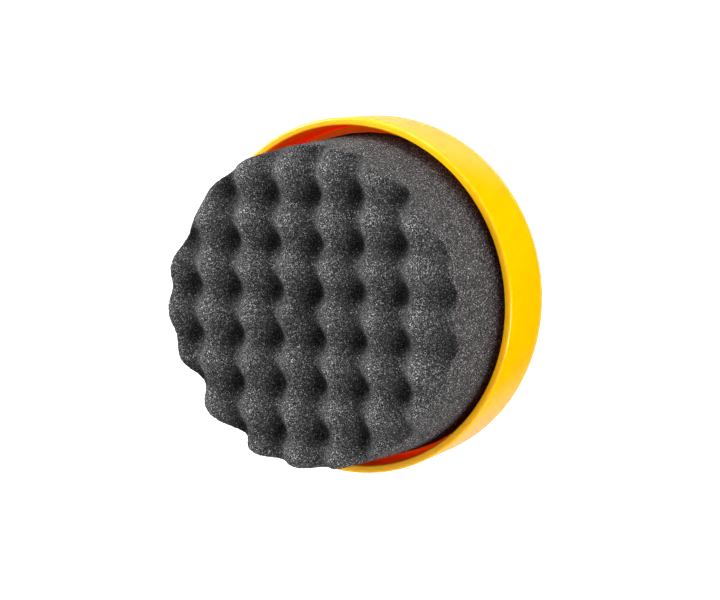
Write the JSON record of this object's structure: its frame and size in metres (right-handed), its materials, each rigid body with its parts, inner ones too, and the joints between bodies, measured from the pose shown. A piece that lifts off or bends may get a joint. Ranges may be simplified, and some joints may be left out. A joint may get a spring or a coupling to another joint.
{
  "type": "rotary polishing head",
  "caption": "Round polishing head: a dark waffle-faced foam pad held by hook and loop in a yellow plastic cup that turns on a ball bearing in a locking collar.",
  "frame": {"origin": "centre of the mounting collar's rear face, at the bottom of the box that holds the object", "axes": "+Z along the spin axis, out of the pad's working face; +X and +Y lie in the collar's rear face"},
  "size_m": [0.12, 0.12, 0.0765],
  "materials": {
    "cup_plastic": "glossy yellow moulding",
    "tray_plastic": "orange moulding, satin",
    "collar_plastic": "black glass-filled nylon, fine grain",
    "rubber": "matt black",
    "bearing_steel": "ground bearing steel",
    "spring_steel": "phosphated",
    "spindle_steel": "turned",
    "screw_steel": "zinc plated",
    "cage_nylon": "natural nylon",
    "felt": "pressed felt",
    "hook_cloth": "black hook tape",
    "loop_cloth": "brushed loop cloth",
    "foam": "open-cell foam, waffle face"
  },
  "bodies": {
    "collar": {"mounting_collar": "collar_plastic", "collar_o_ring": "rubber", "bearing_outer_race": "bearing_steel", "bearing_rear_shield": "rubber", "bearing_front_shield": "rubber", "bearing_circlip": "spring_steel"},
    "head": {"drive_spindle": "spindle_steel", "bearing_inner_race": "bearing_steel", "ball_cage": "cage_nylon", "spindle_circlip": "spring_steel", "cup_shell": "cup_plastic", "dust_seal": "felt", "pad_tray": "tray_plastic", "hook_disc": "hook_cloth", "bearing_ball_1": "bearing_steel", "bearing_ball_2": "bearing_steel", "bearing_ball_3": "bearing_steel", "bearing_ball_4": "bearing_steel", "bearing_ball_5": "bearing_steel", "bearing_ball_6": "bearing_steel", "bearing_ball_7": "bearing_steel", "bearing_ball_8": "bearing_steel", "tray_screw_1": "screw_steel", "tray_screw_2": "screw_steel", "tray_screw_3": "screw_steel", "tray_screw_4": "screw_steel", "tray_screw_5": "screw_steel", "tray_screw_6": "screw_steel", "flange_screw_1": "screw_steel", "flange_screw_2": "screw_steel", "flange_screw_3": "screw_steel", "flange_screw_4": "screw_steel"},
    "pad": {"loop_disc": "loop_cloth", "foam_pad": "foam"}
  },
  "joints": [
    {"name": "head_spin", "type": "hinge", "parent": "collar", "child": "head", "pos_m": [0, 0, 0.011], "axis": [0, 0, 1], "continuous": true},
    {"name": "pad_lift", "type": "slide", "parent": "head", "child": "pad", "axis": [0, 0, 1], "range_m": [0, 0.05]}
  ]
}
